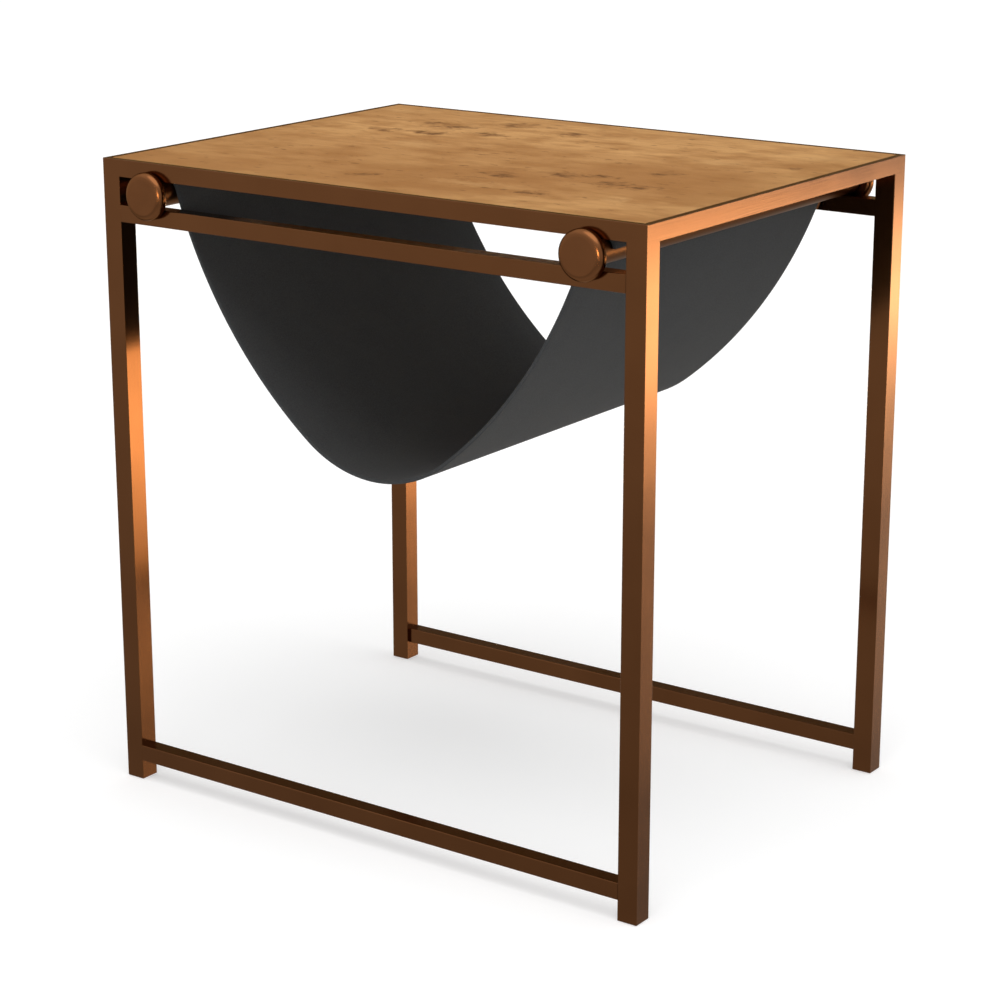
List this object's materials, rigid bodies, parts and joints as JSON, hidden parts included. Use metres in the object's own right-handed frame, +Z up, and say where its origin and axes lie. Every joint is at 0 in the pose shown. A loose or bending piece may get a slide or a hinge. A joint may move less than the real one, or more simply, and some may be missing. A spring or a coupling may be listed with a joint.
{
  "type": "magazine table",
  "caption": "Low side table: slim square-tube metal frame, inlaid wooden top, and a felt sling for magazines hung from rods that slide in slots and are clamped by round end knobs.",
  "frame": {"origin": "on the floor, under the middle of the table", "axes": "+Z up; X along the wide sides, where the knobs are; Y from front to rear"},
  "size_m": [0.45, 0.3566, 0.463],
  "materials": {
    "frame_metal": "steel tube with a copper-coloured metallic finish, satin",
    "rod_and_knob_metal": "steel with a copper-coloured metallic finish, smooth turned",
    "top_wood": "oiled light brown wood, fine grain with small dark flecks",
    "sling_felt": "firm pressed felt, charcoal grey, matte",
    "foot_plastic": "black moulded",
    "fastener_steel": "zinc-plated",
    "rivet_metal": "copper-coloured coating"
  },
  "bodies": {
    "frame": {"leg_front_left": "frame_metal", "leg_front_right": "frame_metal", "leg_rear_left": "frame_metal", "leg_rear_right": "frame_metal", "foot_front_left": "foot_plastic", "foot_front_right": "foot_plastic", "foot_rear_left": "foot_plastic", "foot_rear_right": "foot_plastic", "stretcher_front": "frame_metal", "stretcher_rear": "frame_metal", "slot_rail_front": "frame_metal", "slot_rail_rear": "frame_metal", "top_rail_front": "frame_metal", "top_rail_right": "frame_metal", "top_rail_rear": "frame_metal", "top_rail_left": "frame_metal", "wood_top": "top_wood", "top_screws": "fastener_steel"},
    "rack": {"rod_left": "rod_and_knob_metal", "rod_right": "rod_and_knob_metal", "rod_insert_front_left": "fastener_steel", "rod_insert_front_right": "fastener_steel", "rod_insert_rear_left": "fastener_steel", "rod_insert_rear_right": "fastener_steel", "sling": "sling_felt", "sling_rivets_left": "rivet_metal", "sling_rivets_right": "rivet_metal"},
    "knob_front_left": {"knob_front_left": "rod_and_knob_metal", "knob_stud_front_left": "fastener_steel"},
    "knob_front_right": {"knob_front_right": "rod_and_knob_metal", "knob_stud_front_right": "fastener_steel"},
    "knob_rear_left": {"knob_rear_left": "rod_and_knob_metal", "knob_stud_rear_left": "fastener_steel"},
    "knob_rear_right": {"knob_rear_right": "rod_and_knob_metal", "knob_stud_rear_right": "fastener_steel"}
  },
  "joints": [
    {"name": "rack_slide", "type": "slide", "parent": "frame", "child": "rack", "axis": [1, 0, 0], "range_m": [-0.0195, 0.0195]},
    {"name": "knob_front_left_turn", "type": "hinge", "parent": "rack", "child": "knob_front_left", "pos_m": [-0.181, -0.1693, 0.4403], "axis": [0, -1, 0], "range_deg": [0, 720]},
    {"name": "knob_front_right_turn", "type": "hinge", "parent": "rack", "child": "knob_front_right", "pos_m": [0.181, -0.1693, 0.4403], "axis": [0, -1, 0], "range_deg": [0, 720]},
    {"name": "knob_rear_left_turn", "type": "hinge", "parent": "rack", "child": "knob_rear_left", "pos_m": [-0.181, 0.1693, 0.4403], "axis": [0, 1, 0], "range_deg": [0, 720]},
    {"name": "knob_rear_right_turn", "type": "hinge", "parent": "rack", "child": "knob_rear_right", "pos_m": [0.181, 0.1693, 0.4403], "axis": [0, 1, 0], "range_deg": [0, 720]}
  ]
}
